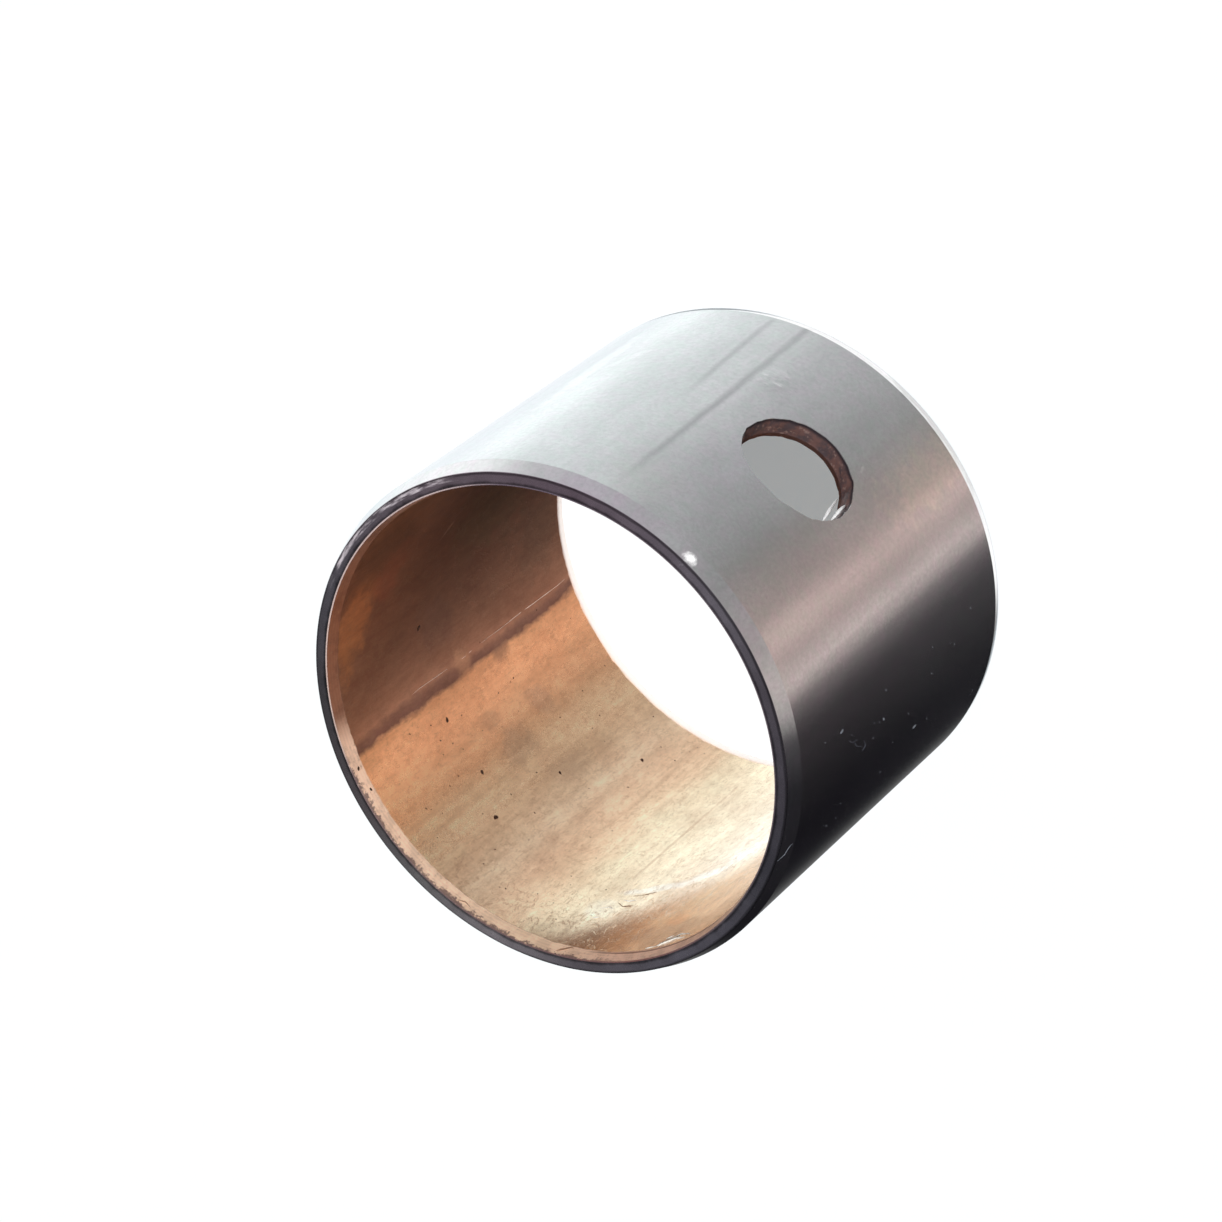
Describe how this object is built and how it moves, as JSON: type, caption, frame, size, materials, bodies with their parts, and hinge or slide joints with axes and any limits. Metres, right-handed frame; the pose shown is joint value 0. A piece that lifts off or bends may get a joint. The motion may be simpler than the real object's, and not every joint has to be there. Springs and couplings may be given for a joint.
{
  "type": "plain bearing bush",
  "caption": "Steel-backed bronze-lined plain bearing bush with chamfered ends and a radial oil hole through the wall.",
  "frame": {"origin": "centre of the lower end face, on the axis of the bush", "axes": "+Z along the axis of the bush, from the lower end to the upper end; the oil hole opens towards -Y"},
  "size_m": [0.06, 0.06, 0.05],
  "materials": {
    "steel": "smooth rolled steel, faint marks along the axis",
    "bronze": "satin bronze with uneven tan and pink patches, small pits and fine lines along the axis"
  },
  "bodies": {
    "root": {"steel_back": "steel", "bronze_lining": "bronze"}
  },
  "joints": []
}
